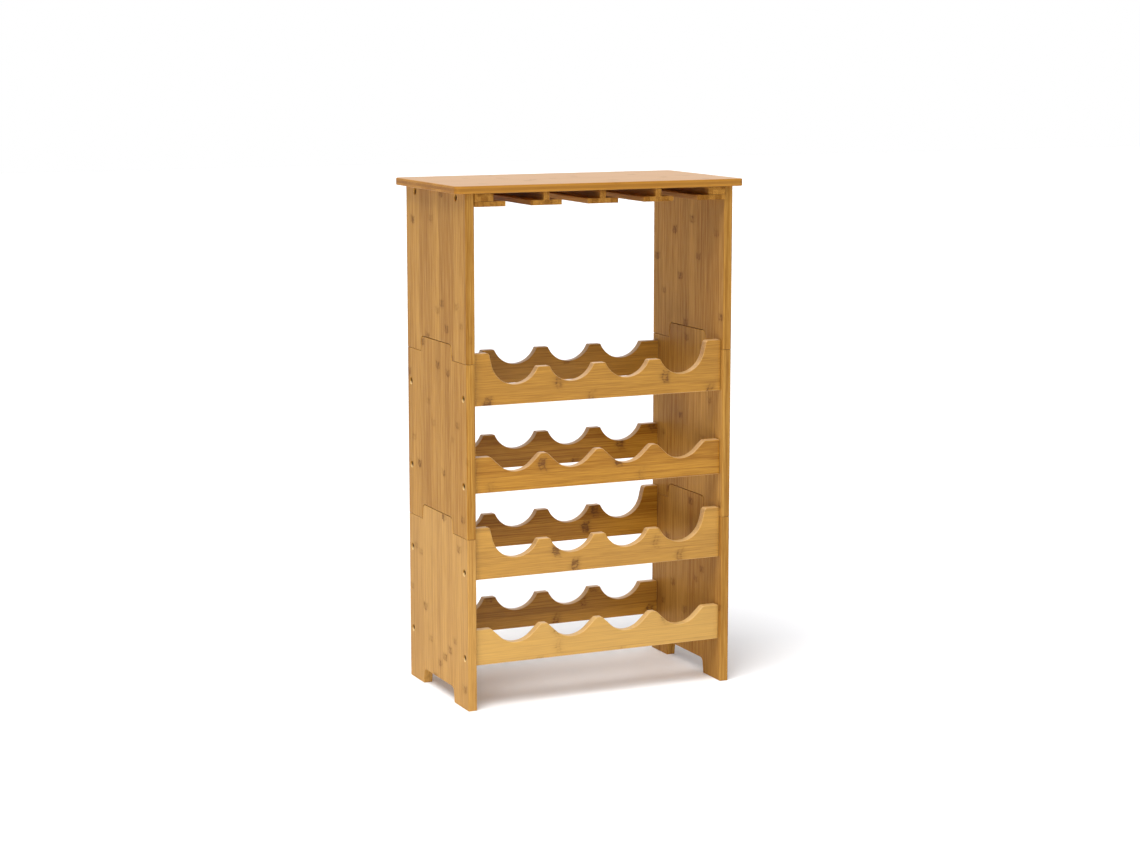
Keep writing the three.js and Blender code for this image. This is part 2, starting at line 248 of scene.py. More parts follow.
bambooLooks = {
    # grain, across and layers are the axes of a piece; sizes in metres; tones 0 to 255
    # faceTone, edgeToneAndSheen and coreShade are only there where faces, edges or the core stand out; on the
    # rails the edge tone is a painted sheen, on the board the edges' own colour
    "panelBamboo": {
        "grain": "Z", "across": "Y", "layers": "X",
        "stripWidth": 0.0212, "stripShift": 0.0071, "layerDepth": 0.00517, "layerMiddle": -0.2275,
        "caneLength": 0.28, "light": (189, 141, 68), "deep": (147, 99, 38), "mark": (92, 52, 18),
        "pale": (226, 186, 122), "stripSpread": 0.4, "jointLine": 0.22, "streak": 1.4, "longStreak": 0.8,
        "fineLine": 2.3, "ridge": 0.45, "dash": 0.66, "halo": 0.25,
        "markWidth": 0.0094, "markLength": 0.0055, "endShade": 0.16, "endPores": 0.5,
        "roughness": 0.42, "shine": 0.05, "edgeShine": 0.04,
    },
    "railBamboo": {
        "grain": "X", "across": "Z", "layers": "Y",
        "stripWidth": 0.0272, "stripShift": 0.0118, "layerDepth": 0.00475, "layerMiddle": -0.114,
        "caneLength": 0.21, "light": (184, 131, 44), "deep": (140, 89, 16), "mark": (88, 48, 13),
        "pale": (228, 188, 110), "stripSpread": 0.4, "jointLine": 0.15, "streak": 1.15, "longStreak": 0.9,
        "fineLine": 2.2, "ridge": 0.6, "dash": 0.7, "halo": 0.28,
        "markWidth": 0.0115, "markLength": 0.0078, "endShade": 0.08, "endPores": 0.5,
        # a painted sheen on the cradles and on the upper and lower faces
        "edgeToneAndSheen": (236, 196, 140), "edgeShare": 0.45,
        "roughness": 0.34, "shine": 0.25, "edgeShine": 0.35,
    },
    "boardBamboo": {
        "grain": "X", "across": "Y", "layers": "Z",
        "stripWidth": 0.0215, "stripShift": 0.0043, "layerDepth": 0.0041, "layerMiddle": 0.834,
        "caneLength": 0.25, "light": (192, 138, 62), "deep": (156, 102, 36), "mark": (100, 58, 20),
        "pale": (226, 186, 122), "stripSpread": 0.45, "jointLine": 0.15, "streak": 0.9, "longStreak": 0.5,
        "fineLine": 1.0, "ridge": 0.3, "dash": 0.35, "halo": 0.14,
        "markWidth": 0.0078, "markLength": 0.0055, "faceTone": (202, 153, 98),
        "faceShare": 0.7, "edgeToneAndSheen": (196, 140, 60), "edgeShare": 0.2, "coreShade": 0.36, "endShade": 0.08,
        "endPores": 0.6, "roughness": 0.36, "shine": 0.2, "edgeShine": 0.04,
    },
    "hangerBamboo": {
        "grain": "Y", "across": "X", "layers": "Z",
        "stripWidth": 0.0112, "stripShift": 0.0031, "layerDepth": 0.0081, "layerMiddle": 0.8111,
        "caneLength": 0.22, "light": (178, 126, 54), "deep": (132, 84, 26), "mark": (80, 46, 14),
        "pale": (226, 186, 122), "stripSpread": 0.9, "jointLine": 0.3, "streak": 2.0, "longStreak": 0.4,
        "fineLine": 1.6, "ridge": 0.3, "dash": 0.4, "halo": 0.1,
        "markWidth": 0.004, "markLength": 0.004, "endShade": 0.05, "endPores": 0.7,
        "roughness": 0.45, "shine": 0.1, "edgeShine": 0.06,
    },
}
holeLightTone = (248, 214, 152)    # painted light on the upward-facing walls of the screw holes
# how far a piece is paler than its fellows, 0 to 1, or darker when below nothing; partly each piece's own
# tone, partly painted light, paler towards the bottom, and painted shade, darker on upper and inner pieces
pieceLightAndTone = {
    "bottom_lower_front_rail": 0.42, "bottom_upper_front_rail": 0.18, "middle_upper_front_rail": 0.08,
    "bottom_side_panel_left": 0.16, "top_side_panel_left": -0.05, "middle_side_panel_left": -0.03,
    "middle_side_panel_right": -0.05, "bottom_side_panel_right": -0.05, "middle_lower_back_rail": -0.06,
    "middle_upper_back_rail": 0.1, "bottom_lower_back_rail": 0.08,
}


bambooGrain = {
    # shared by every bamboo, lengths in metres
    "batchAlong": 1.73, "batchAcross": 0.117,             # how far apart two pieces are sawn
    "layerLuck": 3.7, "stripLuck": 1.3,                   # seeds
    "wander": 0.0012, "jointWidth": 0.0005,
    "caneShuffle": 9.0, "caneSpread": 0.6, "caneMargin": 0.2,
    "markShift": 0.007, "markBow": 26.0, "markWobble": 0.009,
    "lineGap": 0.0055, "lineGapSpread": 0.004, "lineWidth": 0.0013,
    "secondLineWidth": 0.0015, "secondLine": 0.8,
    "fibreContrast": 4.2, "fibreLevel": 0.32, "fibreMost": 1.3, "fibreBase": 0.35,
    "markLeast": 0.3, "markMost": 0.8, "markOnFaces": 0.7,
    "longStreakFrom": 0.12, "longStreakContrast": 6.0, "fleckFrom": 0.13, "fleckContrast": 5.0,
    "cloud": 0.5, "fleck": 0.35, "depthLevel": 0.45, "depthMost": 1.35, "ruddy": 0.12, "poreContrast": 5.0,
    "lineGloss": 0.16, "markGloss": 0.12,
    "lineRelief": 0.5, "streakRelief": 0.25, "jointRelief": 0.35, "ridgeRelief": 0.5,
    "bumpStrength": 0.35, "bumpDistance": 0.0003, "endFalloff": 4.0, "faceFalloff": 6.0,
}
bambooNoises = {
    # grains a metre along, across and through the piece, then detail and roughness
    "wander": ((3.0, 0.0, 5.0), 0.0, 0.5),
    "wobble": ((3.1, 260.0, 260.0), 2.0, 0.5),
    "fibreEnds": ((90.0, 330.0, 330.0), 2.0, 0.6),
    "streaks": ((5.0, 190.0, 190.0), 5.0, 0.68),
    "longStreaks": ((2.4, 330.0, 330.0), 1.0, 0.5),
    "fineLines": ((16.0, 620.0, 620.0), 3.0, 0.6),
    "flecks": ((34.0, 760.0, 760.0), 1.0, 0.5),
    "clouds": ((2.2, 14.0, 14.0), 1.0, 0.5),
    "pores": ((40.0, 950.0, 950.0), 2.0, 0.6),
}


def bambooFinish(name):
    look, grain = bambooLooks[name], bambooGrain
    finish, tree, shader = newFinish(name)
    markTone = tone(*look["mark"])

    def plus(first, second):
        return sums(tree, "ADD", first, second)

    def minus(first, second):
        return sums(tree, "SUBTRACT", first, second)

    def times(first, second):
        return sums(tree, "MULTIPLY", first, second)

    def atLeast(value, least):
        return sums(tree, "MAXIMUM", value, least)

    def atMost(value, most):
        return sums(tree, "MINIMUM", value, most)

    def stamped(name):
        node = tree.nodes.new("ShaderNodeAttribute")
        node.attribute_name = name
        return node.outputs["Fac"]

    place = tree.nodes.new("ShaderNodeTexCoord")
    split = tree.nodes.new("ShaderNodeSeparateXYZ")
    tree.links.new(place.outputs["Object"], split.inputs[0])
    along, across, through = (split.outputs[look[way]] for way in ("grain", "across", "layers"))
    facing = tree.nodes.new("ShaderNodeSeparateXYZ")
    tree.links.new(place.outputs["Normal"], facing.inputs[0])
    endGrain = sums(tree, "POWER", sums(tree, "ABSOLUTE", facing.outputs[look["grain"]]), grain["endFalloff"])
    broad = sums(tree, "POWER", sums(tree, "ABSOLUTE", facing.outputs[look["layers"]]), grain["faceFalloff"])

    # every piece is sawn from its own stretch of laminate
    batch = stamped("batch")
    along = plus(along, times(batch, grain["batchAlong"]))
    across = plus(across, times(batch, grain["batchAcross"]))

    def noise(title):
        return stretchedNoise(tree, along, across, through, *bambooNoises[title])

    # which layer and which strip of the laminate a point is in
    layerCount = sums(tree, "DIVIDE", minus(through, look["layerMiddle"]), look["layerDepth"])
    layer = sums(tree, "FLOOR", plus(layerCount, 0.5))
    layerShift = times(chance(tree, layer, grain["layerLuck"])[0], look["stripWidth"])
    wander = times(stretchedNoise(tree, along, across, layer, *bambooNoises["wander"]), grain["wander"])
    stripPlace = plus(plus(across, look["stripShift"]), plus(layerShift, wander))
    stripCount = sums(tree, "DIVIDE", stripPlace, look["stripWidth"])
    strip = sums(tree, "FLOOR", stripCount)
    fromMiddle = times(minus(minus(stripCount, strip), 0.5), look["stripWidth"])
    stripLuck = chance(tree, strip, layer, grain["stripLuck"])
    joint = hump(tree, minus(look["stripWidth"] / 2, sums(tree, "ABSOLUTE", fromMiddle)), grain["jointWidth"])

    # the cane's joints, one mark across a strip every caneLength or so
    caneCount = plus(sums(tree, "DIVIDE", along, look["caneLength"]),
                     times(stripLuck[1], grain["caneShuffle"]))
    cane = sums(tree, "FLOOR", caneCount)
    caneLuck = chance(tree, cane, strip, layer)
    caneMiddle = plus(times(caneLuck[0], grain["caneSpread"]), grain["caneMargin"])
    fromMark = times(minus(minus(caneCount, cane), caneMiddle), look["caneLength"])
    sideways = plus(fromMiddle, times(minus(caneLuck[1], 0.5), grain["markShift"]))
    # two ragged lines across the strip, fibre ends between them, and a faint stain round them
    bow = times(times(sideways, sideways), grain["markBow"])
    wobble = stretchedNoise(tree, cane, across, through, *bambooNoises["wobble"])
    bent = plus(minus(fromMark, bow), times(wobble, grain["markWobble"]))
    lineGap = plus(times(caneLuck[2], grain["lineGapSpread"]), grain["lineGap"])
    ends = plus(times(noise("fibreEnds"), grain["fibreContrast"]), grain["fibreLevel"])
    ends = atMost(atLeast(ends, 0.0), grain["fibreMost"])
    secondLine = hump(tree, minus(bent, lineGap), grain["secondLineWidth"])
    ridge = plus(hump(tree, bent, grain["lineWidth"]), times(secondLine, grain["secondLine"]))
    between = hump(tree, minus(bent, times(lineGap, 0.5)), look["markLength"])
    mark = plus(times(times(ridge, look["ridge"]), plus(ends, grain["fibreBase"])),
                times(between, plus(times(ends, look["dash"]), look["halo"])))
    mark = times(mark, hump(tree, sideways, look["markWidth"]))
    mark = times(mark, plus(caneLuck[2], grain["markLeast"]))
    # they show best on the broad faces
    mark = times(mark, plus(times(broad, grain["markOnFaces"]), 1 - grain["markOnFaces"]))
    mark = atMost(mark, grain["markMost"])

    # fibres: broad streaks, fine lines, and dark flecks where vessels are cut
    streaks, fineLines = noise("streaks"), noise("fineLines")
    longStreaks = times(minus(noise("longStreaks"), grain["longStreakFrom"]), grain["longStreakContrast"])
    flecks = times(minus(noise("flecks"), grain["fleckFrom"]), grain["fleckContrast"])
    depth = plus(times(streaks, look["streak"]), times(fineLines, look["fineLine"]))
    depth = plus(depth, times(minus(stripLuck[0], 0.5), look["stripSpread"]))
    depth = plus(depth, times(noise("clouds"), grain["cloud"]))
    depth = plus(depth, times(atLeast(flecks, 0.0), grain["fleck"]))
    depth = plus(depth, times(atLeast(longStreaks, 0.0), look["longStreak"]))
    depth = atMost(atLeast(plus(depth, grain["depthLevel"]), 0.0), grain["depthMost"])
    colour = blendTones(tree, depth, tone(*look["light"]), tone(*look["deep"]))
    colour = blendTones(tree, times(stripLuck[2], grain["ruddy"]), colour, markTone)
    if "faceTone" in look:
        colour = blendTones(tree, times(broad, look["faceShare"]), colour, tone(*look["faceTone"]))
    # on the rails this paints a sheen on faces along neither grain nor layers; on the board it is the edges'
    # own colour
    if "edgeToneAndSheen" in look:
        edge = atLeast(minus(minus(1.0, broad), endGrain), 0.0)
        colour = blendTones(tree, times(edge, look["edgeShare"]), colour, tone(*look["edgeToneAndSheen"]))
    if "coreShade" in look:
        core = sums(tree, "LESS_THAN", sums(tree, "ABSOLUTE", layer), 0.5)
        colour = blendTones(tree, times(core, look["coreShade"]), colour, markTone)
    # whole pieces paler or darker, partly their own tone and partly painted light and painted shade, then
    # marks, painted light in the screw holes, glue lines and end grain
    paintedLightAndTone = stamped("paintedLightAndTone")
    colour = blendTones(tree, atLeast(times(paintedLightAndTone, 1), 0.0), colour, tone(*look["pale"]))
    colour = blendTones(tree, atLeast(times(paintedLightAndTone, -1), 0.0), colour, markTone)
    colour = blendTones(tree, mark, colour, markTone)
    # painted light on the upward-facing walls of the screw holes
    colour = blendTones(tree, stamped("paintedHoleLight"), colour, tone(*holeLightTone))
    colour = blendTones(tree, times(joint, look["jointLine"]), colour, markTone)
    colour = blendTones(tree, times(endGrain, look["endShade"]), colour, markTone)
    pores = atMost(atLeast(times(noise("pores"), grain["poreContrast"]), 0.0), 1.0)
    colour = blendTones(tree, times(times(pores, endGrain), look["endPores"]), colour, markTone)
    tree.links.new(colour, shader.inputs["Base Color"])

    gloss = plus(times(fineLines, grain["lineGloss"]), look["roughness"])
    tree.links.new(plus(gloss, times(mark, grain["markGloss"])), shader.inputs["Roughness"])
    tree.links.new(plus(times(broad, look["shine"] - look["edgeShine"]), look["edgeShine"]),
                   shader.inputs["Specular IOR Level"])
    relief = plus(times(fineLines, grain["lineRelief"]), times(streaks, grain["streakRelief"]))
    relief = minus(relief, times(joint, grain["jointRelief"]))
    relief = plus(relief, times(ridge, grain["ridgeRelief"]))
    bump = tree.nodes.new("ShaderNodeBump")
    bump.inputs["Strength"].default_value = grain["bumpStrength"]
    bump.inputs["Distance"].default_value = grain["bumpDistance"]
    tree.links.new(relief, bump.inputs["Height"])
    tree.links.new(bump.outputs[0], shader.inputs["Normal"])
    return finish


steelLook = {"dark": (50, 35, 20), "worn": (98, 76, 48), "roughness": 0.4}
dowelLook = {"light": (226, 200, 160), "deep": (188, 150, 102), "roughness": 0.7}


def steelFinish():
    finish, tree, shader = newFinish("darkSteel")
    place = tree.nodes.new("ShaderNodeTexCoord")
    split = tree.nodes.new("ShaderNodeSeparateXYZ")
    tree.links.new(place.outputs["Object"], split.inputs[0])
    scuffs = stretchedNoise(tree, *split.outputs, (900.0, 900.0, 900.0), 3.0, 0.65)
    worn = sums(tree, "MAXIMUM", sums(tree, "MULTIPLY", scuffs, 3.0), 0.0)
    tree.links.new(blendTones(tree, worn, tone(*steelLook["dark"]), tone(*steelLook["worn"])),
                   shader.inputs["Base Color"])
    tree.links.new(sums(tree, "ADD", sums(tree, "MULTIPLY", scuffs, 0.3), steelLook["roughness"]),
                   shader.inputs["Roughness"])
    shader.inputs["Metallic"].default_value = 1.0
    return finish


def dowelFinish():
    finish, tree, shader = newFinish("dowelBeech")
    place = tree.nodes.new("ShaderNodeTexCoord")
    split = tree.nodes.new("ShaderNodeSeparateXYZ")
    tree.links.new(place.outputs["Object"], split.inputs[0])
    flecks = stretchedNoise(tree, *split.outputs, (60.0, 1100.0, 1100.0), 2.0)
    factor = sums(tree, "ADD", sums(tree, "MULTIPLY", flecks, 1.8), 0.5)
    tree.links.new(blendTones(tree, factor, tone(*dowelLook["light"]), tone(*dowelLook["deep"])),
                   shader.inputs["Base Color"])
    tree.links.new(sums(tree, "ADD", sums(tree, "MULTIPLY", flecks, 0.2), dowelLook["roughness"]),
                   shader.inputs["Roughness"])
    return finish


finishes = {name: bambooFinish(name) for name in bambooLooks}
finishes["darkSteel"] = steelFinish()
finishes["dowelBeech"] = dowelFinish()
print("finishes are mixed")


# tools of the workshop

edgeWork = {"easeSteps": 3, "easeAngle": 30, "smoothAngle": 32, "smoothWeight": 100}   # angles in degrees


def box(node):
    low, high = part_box(node)
    return Vector(low), Vector(high)


def onlySelect(piece):
    if bpy.context.mode != "OBJECT":
        bpy.ops.object.mode_set(mode="OBJECT")
    bpy.ops.object.select_all(action="DESELECT")
    piece.select_set(True)
    bpy.context.view_layer.objects.active = piece


def settle(piece):
    onlySelect(piece)
    bpy.ops.object.transform_apply(location=True, rotation=True, scale=True)


def addBlock(name, low, high):
    bpy.ops.object.select_all(action="DESELECT")
    bpy.ops.mesh.primitive_cube_add(size=1, location=(low + high) / 2, scale=high - low)
    block = bpy.context.object
    block.name = block.data.name = name
    settle(block)
    return block


def addRod(name, middle, radius, length, sides, turn=(0, 0, 0)):
    bpy.ops.object.select_all(action="DESELECT")
    bpy.ops.mesh.primitive_cylinder_add(vertices=sides, radius=radius, depth=length,
                                        location=middle, rotation=turn)
    rod = bpy.context.object
    rod.name = rod.data.name = name
    settle(rod)
    return rod


def pickEdges(piece, wanted):
    # leaves the piece in edit mode with the edges whose two ends pass the test selected
    onlySelect(piece)
    bpy.ops.object.mode_set(mode="EDIT")
    bpy.ops.mesh.select_mode(type="EDGE")
    bpy.ops.mesh.select_all(action="DESELECT")
    shape = bmesh.from_edit_mesh(piece.data)
    for edge in shape.edges:
        edge.select_set(wanted(edge.verts[0].co, edge.verts[1].co))
    bmesh.update_edit_mesh(piece.data)


def pickFaces(piece, wanted):
    onlySelect(piece)
    bpy.ops.object.mode_set(mode="EDIT")
    bpy.ops.mesh.select_mode(type="FACE")
    bpy.ops.mesh.select_all(action="DESELECT")
    shape = bmesh.from_edit_mesh(piece.data)
    shape.faces.ensure_lookup_table()
    for face in shape.faces:
        face.select_set(wanted(face.calc_center_median(), face.normal))
    bmesh.update_edit_mesh(piece.data)


def close(first, second, reach=1e-5):
    return abs(first - second) < reach


def roundEdges(piece, wanted, radius, steps):
    pickEdges(piece, wanted)
    bpy.ops.mesh.bevel(offset=radius, segments=steps, affect="EDGES", clamp_overlap=False)
    bpy.ops.object.mode_set(mode="OBJECT")


def scoreLine(piece, point, normal):
    # cuts an edge loop round the piece where the plane meets it
    onlySelect(piece)
    bpy.ops.object.mode_set(mode="EDIT")
    bpy.ops.mesh.select_all(action="SELECT")
    bpy.ops.mesh.bisect(plane_co=point, plane_no=normal, use_fill=False)
    bpy.ops.object.mode_set(mode="OBJECT")


def applyModifier(piece, modifier):
    onlySelect(piece)
    bpy.ops.object.modifier_apply(modifier=modifier.name)


def cutAway(piece, cutter):
    cut = piece.modifiers.new("cut", "BOOLEAN")
    cut.operation = "DIFFERENCE"
    cut.solver = "EXACT"
    cut.object = cutter
    applyModifier(piece, cut)
    bpy.data.objects.remove(cutter)


def easeEdges(piece, width):
    # rubs down every edge sharper than the ease angle
    ease = piece.modifiers.new("ease", "BEVEL")
    ease.width = width
    ease.segments = edgeWork["easeSteps"]
    ease.limit_method = "ANGLE"
    ease.angle_limit = math.radians(edgeWork["easeAngle"])
    ease.use_clamp_overlap = True
    applyModifier(piece, ease)


def smoothOver(piece):
    onlySelect(piece)
    bpy.ops.object.shade_smooth_by_angle(angle=math.radians(edgeWork["smoothAngle"]))
    even = piece.modifiers.new("even", "WEIGHTED_NORMAL")
    even.keep_sharp = True
    even.weight = edgeWork["smoothWeight"]
    applyModifier(piece, even)


def stamp(mesh, name, number):
    if name in mesh.attributes:
        mesh.attributes.remove(mesh.attributes[name])
    values = mesh.attributes.new(name, "FLOAT", "POINT")
    values.data.foreach_set("value", [number] * len(mesh.vertices))


batchStep = 0.37    # how far apart in the laminate two pieces next to each other in the record are sawn


def fitPiece(piece, node, finish):
    # stands the piece in for its node, on the node's body and with the finish given
    stamp(piece.data, "batch", list(nodeSlots).index(node) * batchStep)
    # partly the piece's own tone, partly painted light towards the bottom and painted shade on upper and
    # inner pieces
    stamp(piece.data, "paintedLightAndTone", pieceLightAndTone.get(node, 0.0))
    piece.data.materials.clear()
    piece.data.materials.append(finishes[finish])
    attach(piece, nodeBodies[node])
    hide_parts(node)


def copyTo(piece, name, shift):
    onlySelect(piece)
    bpy.ops.object.duplicate(linked=False)
    copy = bpy.context.object
    copy.name = copy.data.name = name
    copy.location = shift
    settle(copy)
    return copy


nodeBodies = {node: body for body, nodes in frame["record"]["behaviour"]["bodies"].items() for node in nodes}
nodeSlots = {row["node"]: row["material_slot"] for row in frame["record"]["subparts"]}


# screw holes and dowel holes, bored along X from a side panel's outer face

holeShape = {
    "mouthRadius": 0.0052, "mouthFlare": 0.0007, "seatDepth": 0.0055, "shankRadius": 0.0023,
    "screwDepth": 0.0457, "dowelRadius": 0.0043, "dowelExtra": 0.0005,
    "mouthSides": 40, "shankSides": 20, "dowelSides": 24,
}


def boreScrew(piece, side, screwNode):
    low, high = box(screwNode)
    middle = (low + high) / 2
    way = 1 if side == "left" else -1              # from the outer face inwards
    outer = box("bottom_side_panel_" + side)[0 if side == "left" else 1].x
    turn = (0, math.radians(90) * way, 0)
    # straight to near the face, then flaring through it and as far again outside
    mouth = addRod("mouth", (outer, middle.y, middle.z), holeShape["mouthRadius"], 2 * holeShape["seatDepth"],
                   holeShape["mouthSides"], turn)
    pickFaces(mouth, lambda centre, normal: normal.x * way < -0.9)
    bpy.ops.transform.translate(value=(way * (holeShape["seatDepth"] + holeShape["mouthFlare"]), 0, 0))
    outwards = -way * 2 * holeShape["mouthFlare"]
    bpy.ops.mesh.extrude_region_move(TRANSFORM_OT_translate={"value": (outwards, 0, 0)})
    flare = 1 + 2 * holeShape["mouthFlare"] / holeShape["mouthRadius"]
    bpy.ops.transform.resize(value=(1, flare, flare))
    bpy.ops.object.mode_set(mode="OBJECT")
    cutAway(piece, mouth)
    shaft = addRod("shaft", (outer + way * holeShape["screwDepth"] / 2, middle.y, middle.z),
                   holeShape["shankRadius"], holeShape["screwDepth"], holeShape["shankSides"], turn)
    cutAway(piece, shaft)


def boreDowel(piece, dowelNode):
    low, high = box(dowelNode)
    middle = (low + high) / 2
    rod = addRod("bore", middle, holeShape["dowelRadius"], high.x - low.x + 2 * holeShape["dowelExtra"],
                 holeShape["dowelSides"], (0, math.radians(90), 0))
    cutAway(piece, rod)


def paintHoleLight(piece, screwNodes):
    # paints the upward-facing walls of each screw hole pale, as painted light falling from above
    middles = [sum(box(node), Vector()) / 2 for node in screwNodes]
    reach = holeShape["mouthRadius"] + holeShape["mouthFlare"]
    paintedHoleLight = piece.data.attributes.new("paintedHoleLight", "FLOAT", "CORNER")
    for face in piece.data.polygons:
        spot = face.center
        inHole = any(math.hypot(spot.y - middle.y, spot.z - middle.z) < reach for middle in middles)
        if inHole and abs(face.normal.x) < 0.9:
            for corner in face.loop_indices:
                paintedHoleLight.data[corner].value = max(face.normal.z, 0.0)


# side panels

panelShape = {
    "notchFoot": 0.068, "notchTop": 0.064, "notchHeight": 0.025, "notchRadius": 0.007,
    "tabGap": 0.0008, "restGap": 0.0003, "frontRounding": 0.0019, "ease": 0.0009,
    "notchSteps": 8, "frontSteps": 4,
}
cutReach = 0.01    # how far a cutter stands out of the piece that it cuts


def makePanel(node, side, hasTab, screws, dowels):
    low, high = box(node)
    # the tab stands above the shoulders by its notch's height, less its clearance
    tabHeight = panelShape["notchHeight"] + panelShape["restGap"] - panelShape["tabGap"]
    shoulder = high.z - (tabHeight if hasTab else 0)
    panel = addBlock(node + "_bamboo", low, Vector((high.x, high.y, shoulder)))
    if hasTab:
        foot = panelShape["notchFoot"] - panelShape["tabGap"]
        top = panelShape["notchTop"] - panelShape["tabGap"]
        scoreLine(panel, (0, -foot, 0), (0, 1, 0))
        scoreLine(panel, (0, foot, 0), (0, 1, 0))
        pickFaces(panel, lambda centre, normal: normal.z > 0.9 and abs(centre.y) < foot * 0.5)
        bpy.ops.mesh.extrude_region_move(TRANSFORM_OT_translate={"value": (0, 0, tabHeight)})
        bpy.ops.transform.resize(value=(1, top / foot, 1))
        bpy.ops.object.mode_set(mode="OBJECT")
        roundEdges(panel, lambda a, b: close(a.z, high.z) and close(b.z, high.z) and close(a.y, b.y),
                   panelShape["notchRadius"] - panelShape["tabGap"], panelShape["notchSteps"])
    notch = addBlock("notch", Vector((low.x - cutReach, -panelShape["notchFoot"], low.z)),
                     Vector((high.x + cutReach, panelShape["notchFoot"], low.z + panelShape["notchHeight"])))
    slope = panelShape["notchTop"] / panelShape["notchFoot"]
    pickFaces(notch, lambda centre, normal: normal.z > 0.9)
    bpy.ops.transform.resize(value=(1, slope, 1))
    pickFaces(notch, lambda centre, normal: normal.z < -0.9)
    bpy.ops.mesh.extrude_region_move(TRANSFORM_OT_translate={"value": (0, 0, -cutReach)})
    bpy.ops.object.mode_set(mode="OBJECT")
    roof = low.z + panelShape["notchHeight"]
    roundEdges(notch, lambda a, b: close(a.z, roof) and close(b.z, roof) and close(a.y, b.y),
               panelShape["notchRadius"], panelShape["notchSteps"])
    cutAway(panel, notch)
    roundEdges(panel, lambda a, b: close(a.x, b.x) and close(a.y, b.y) and close(abs(a.y), high.y),
               panelShape["frontRounding"], panelShape["frontSteps"])
    easeEdges(panel, panelShape["ease"])
    for screw in screws:
        boreScrew(panel, side, screw)
    for dowel in dowels:
        boreDowel(panel, dowel)
    smoothOver(panel)
    # the lower two modules get painted light in their screw holes
    if hasTab:
        paintHoleLight(panel, screws)
    fitPiece(panel, node, "panelBamboo")


railPlaces = ("lower_front", "lower_back", "upper_front", "upper_back")
for module in ("bottom", "middle"):
    for side in ("left", "right"):
        makePanel(f"{module}_side_panel_{side}", side, True,
                  [f"{module}_{place}_rail_screw_{side}" for place in railPlaces],
                  [f"{module}_{place}_rail_dowel_{side}" for place in railPlaces])
for side in ("left", "right"):
    makePanel(f"top_side_panel_{side}", side, False,
              [f"stem_block_{row}_screw_{side}" for row in ("front", "back")], [])
print("side panels are cut")


# bottle rails

railShape = {
    "landHeight": 0.058, "bottles": 4, "endMargin": 0.023, "cradleDepth": 0.026,
    "lugFlank": 76, "endRounding": 0.003, "ease": 0.0012, "endRegion": 0.002,
    "cradleSides": 128, "landSteps": 6, "lugSteps": 8, "endSteps": 5,
}
railStyles = {
    # land width and rounding in metres, flank in degrees from level
    "crested": {"land": 0.011, "flank": 43, "landRounding": 0.0055, "lugRounding": 0},
    "plain": {"land": 0.0207, "flank": 62, "landRounding": 0.0015, "lugRounding": 0},
    "rugged": {"land": 0.0207, "flank": 62, "landRounding": 0.003, "lugRounding": 0.005},
    "lugged": {"land": 0.0207, "flank": 62, "landRounding": 0.0015, "lugRounding": 0.005},
}


def cradleCutter(x, low, high, centreZ, radius, leftFlank, rightFlank, topZ):
    # a log as wide as the cradle's arc, its upper part drawn out along the two flanks
    depth = high.y - low.y + 2 * cutReach
    log = addRod("log", (x, (low.y + high.y) / 2, centreZ), radius, depth, railShape["cradleSides"],
                 (math.radians(90), 0, 0))
    left = Vector((x - radius * math.sin(leftFlank), 0, centreZ - radius * math.cos(leftFlank)))
    right = Vector((x + radius * math.sin(rightFlank), 0, centreZ - radius * math.cos(rightFlank)))
    across = right - left
    upwards = Vector((-across.z, 0, across.x)).normalized()
    onlySelect(log)
    bpy.ops.object.mode_set(mode="EDIT")
    bpy.ops.mesh.select_all(action="SELECT")
    bpy.ops.mesh.bisect(plane_co=left, plane_no=upwards, use_fill=True, clear_outer=True)
    bpy.ops.object.mode_set(mode="OBJECT")
    pickFaces(log, lambda centre, normal: normal.dot(upwards) > 0.999)
    bpy.ops.mesh.extrude_region_move(TRANSFORM_OT_translate={"value": (0, 0, 0)})
    bpy.ops.mesh.select_mode(type="VERT")
    shape = bmesh.from_edit_mesh(log.data)
    raised = [vert for vert in shape.verts if vert.select]
    for corner, lean, way in ((left, leftFlank, -1), (right, rightFlank, 1)):
        bpy.ops.mesh.select_all(action="DESELECT")
        for vert in raised:
            if abs(vert.co.x - corner.x) < radius / 4:
                vert.select_set(True)
        rise = topZ - corner.z
        bpy.ops.transform.translate(value=(way * rise / math.tan(lean), 0, rise))
    bpy.ops.object.mode_set(mode="OBJECT")
    return log


